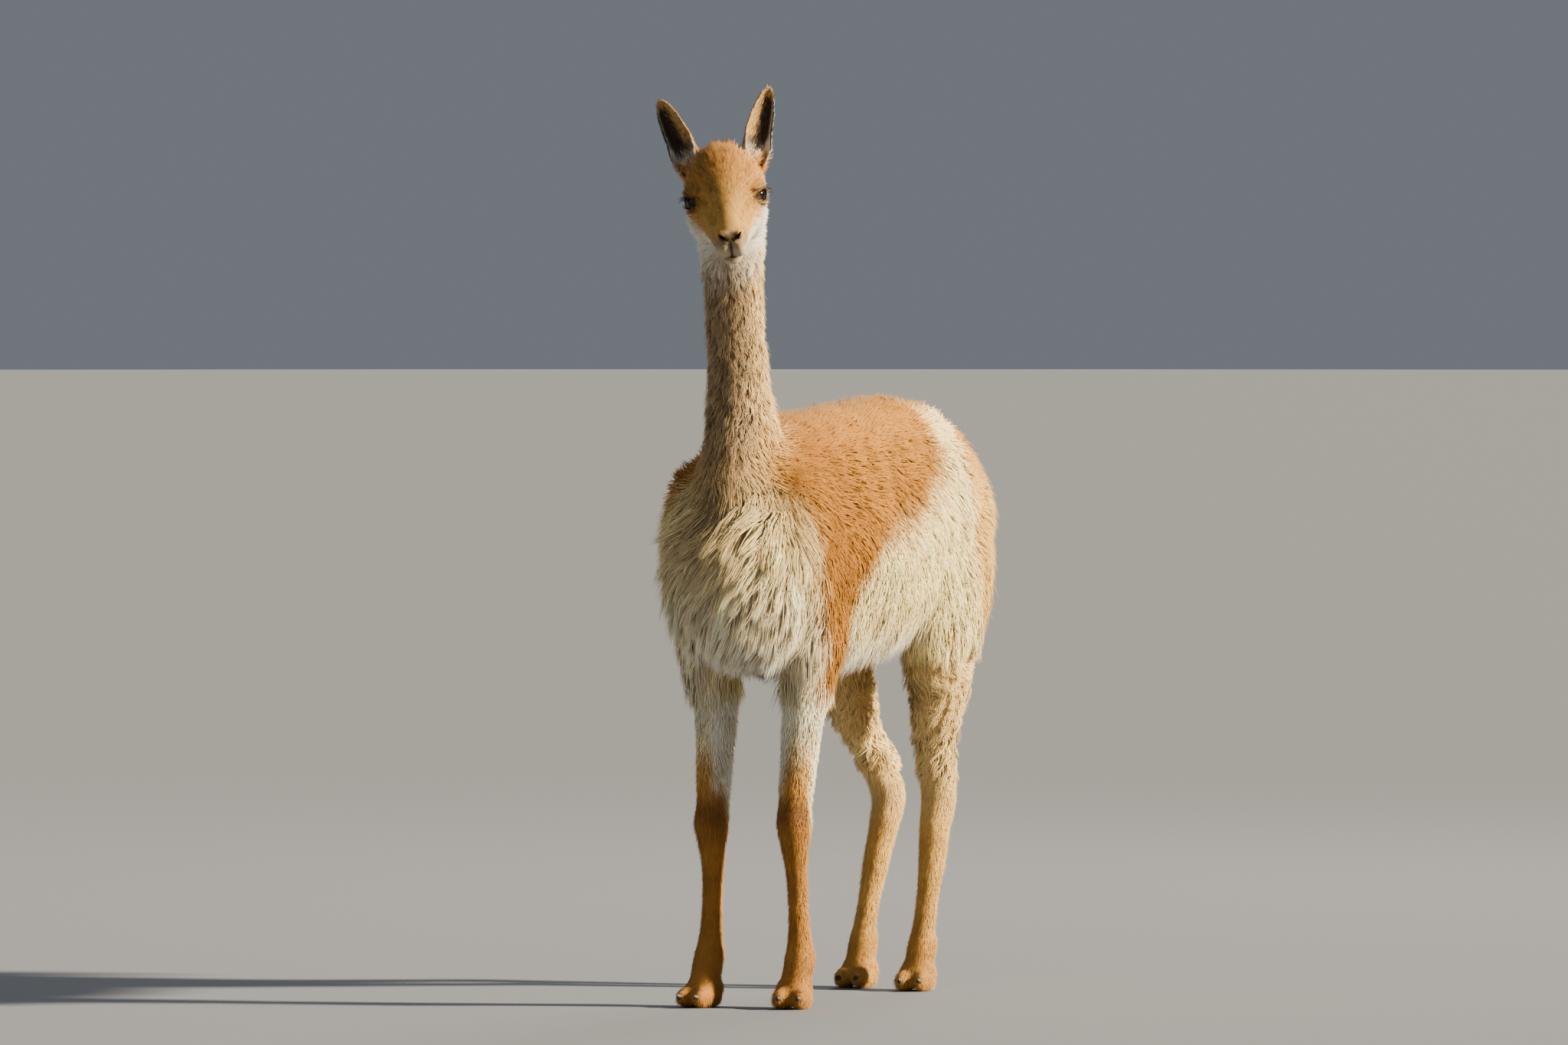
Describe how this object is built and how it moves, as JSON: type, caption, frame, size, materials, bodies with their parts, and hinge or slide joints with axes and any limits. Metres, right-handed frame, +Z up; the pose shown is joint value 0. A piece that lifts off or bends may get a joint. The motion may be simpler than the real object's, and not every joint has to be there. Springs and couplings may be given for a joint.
{
  "type": "vicuna",
  "caption": "Life-size standing vicuna, its long neck upright and its head turned to its left, with a shaggy chest bib, woolly body, upright ears and slim legs on padded feet.",
  "frame": {"origin": "on the floor under the middle of the animal's box", "axes": "+Z up, the animal faces -Y, its left side is at +X"},
  "size_m": [0.2996, 0.9448, 1.3177],
  "materials": {
    "coat_fawn": "soft fawn wool",
    "coat_cream": "cream wool and hair",
    "coat_rust": "short cinnamon hair",
    "eye": "wet dark gloss",
    "nail": "dull dark horn"
  },
  "bodies": {
    "root": {"head": "coat_fawn", "neck": "coat_fawn", "torso": "coat_fawn", "tail": "coat_fawn", "ear_left": "coat_fawn", "ear_right": "coat_fawn", "eye_left": "eye", "eye_right": "eye", "front_left_upper": "coat_cream", "front_left_shank": "coat_rust", "front_left_foot": "coat_rust", "front_left_nail_inner": "nail", "front_left_nail_outer": "nail", "front_right_upper": "coat_cream", "front_right_shank": "coat_rust", "front_right_foot": "coat_rust", "front_right_nail_inner": "nail", "front_right_nail_outer": "nail", "hind_left_upper": "coat_cream", "hind_left_shank": "coat_cream", "hind_left_foot": "coat_cream", "hind_left_nail_inner": "nail", "hind_left_nail_outer": "nail", "hind_right_upper": "coat_cream", "hind_right_shank": "coat_cream", "hind_right_foot": "coat_cream", "hind_right_nail_inner": "nail", "hind_right_nail_outer": "nail"}
  },
  "joints": []
}
